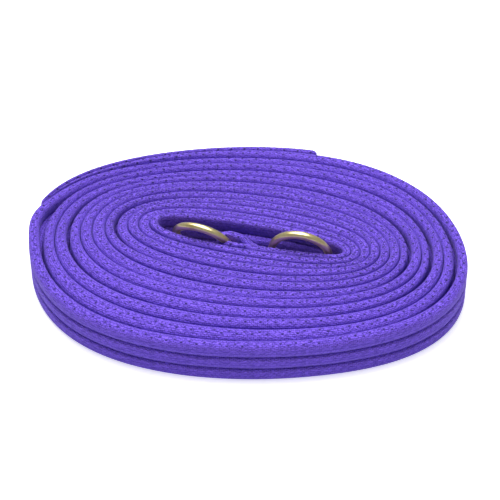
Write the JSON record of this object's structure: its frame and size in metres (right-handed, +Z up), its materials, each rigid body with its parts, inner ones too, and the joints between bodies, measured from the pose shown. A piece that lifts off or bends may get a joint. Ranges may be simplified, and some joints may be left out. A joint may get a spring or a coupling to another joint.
{
  "type": "cushion web line",
  "caption": "Soft padded web line wound on edge into an oval coil, with two brass rings sewn into its inner end and a hand loop at its outer end.",
  "frame": {"origin": "on the floor under the middle of the coil", "axes": "+X along the coil towards its right-hand end, +Y to its back, +Z up"},
  "size_m": [0.2204, 0.158, 0.0321],
  "materials": {
    "woven_web": "coarse soft weave, matt",
    "filler": "loose spun cord",
    "thread": "twisted sewing thread",
    "brass": "polished pale brass"
  },
  "bodies": {
    "coil": {"web_cover": "woven_web", "upper_filler_cord": "filler", "middle_filler_cord": "filler", "lower_filler_cord": "filler", "ring_fold": "woven_web", "ring_fold_stitching": "thread", "hand_loop": "woven_web", "hand_loop_stitching": "thread"},
    "left_ring": {"left_ring": "brass"},
    "right_ring": {"right_ring": "brass"}
  },
  "joints": [
    {"name": "left_ring_swing", "type": "hinge", "parent": "coil", "child": "left_ring", "pos_m": [-0.008, 0.00225, 0.01514], "axis": [-0.1445, -0.3971, 0.9063], "range_deg": [-2, 2]},
    {"name": "right_ring_swing", "type": "hinge", "parent": "coil", "child": "right_ring", "pos_m": [0.01354, -0.00072, 0.01607], "axis": [-0.0462, -0.2375, 0.9703], "range_deg": [-1.2, 1.4]}
  ]
}
